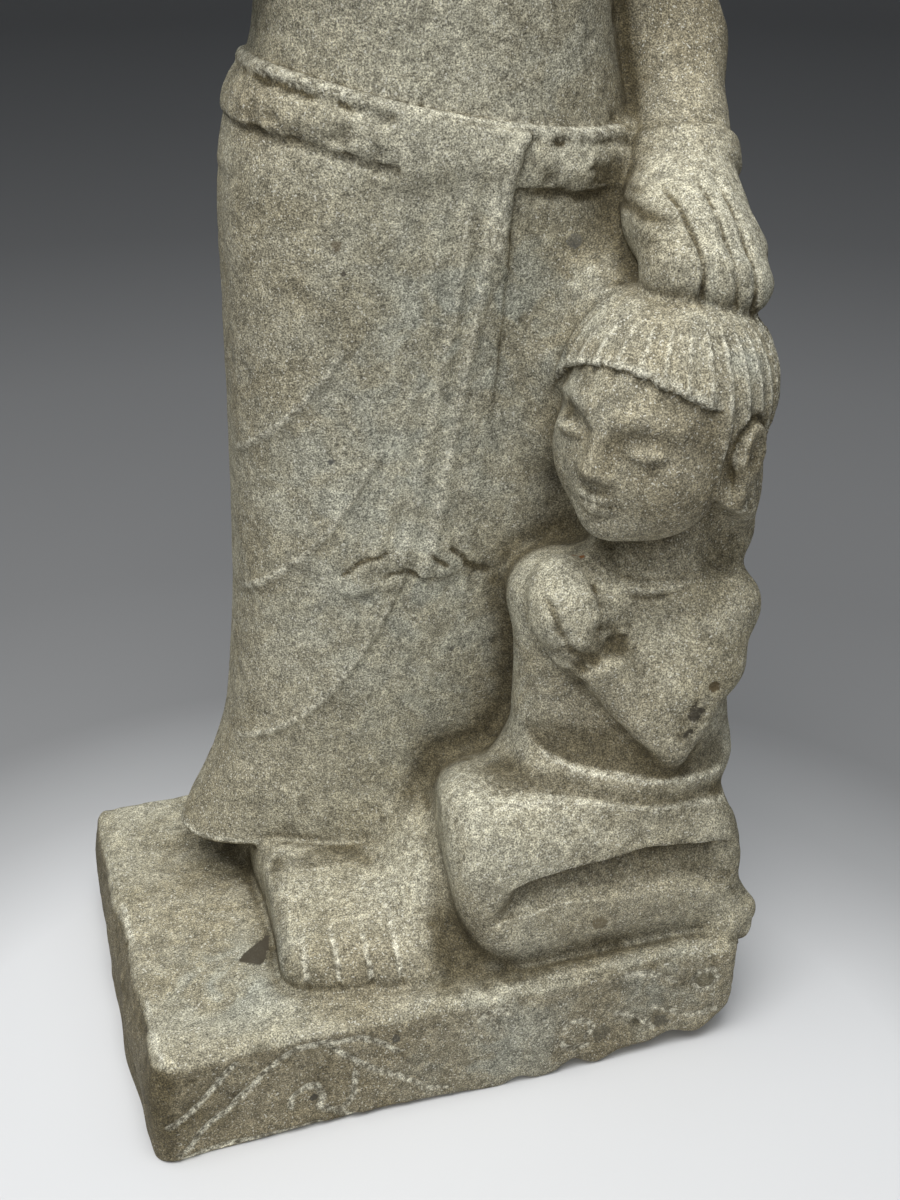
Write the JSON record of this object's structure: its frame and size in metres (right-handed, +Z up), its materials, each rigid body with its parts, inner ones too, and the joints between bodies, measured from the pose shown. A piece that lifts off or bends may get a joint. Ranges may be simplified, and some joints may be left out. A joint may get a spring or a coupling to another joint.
{
  "type": "carved stone statue",
  "caption": "Weathered stone statue: a standing robed figure rests a hand on the head of a kneeling child, both carved with their rough slab base from one block.",
  "frame": {"origin": "centre of the base's flat underside", "axes": "+Z up; the standing figure faces -Y; +X towards the side where the child kneels, a front viewer's right"},
  "size_m": [0.2242, 0.1567, 0.5362],
  "materials": {
    "stone": "weathered, granular, matt"
  },
  "bodies": {
    "root": {"statue": "stone"}
  },
  "joints": []
}
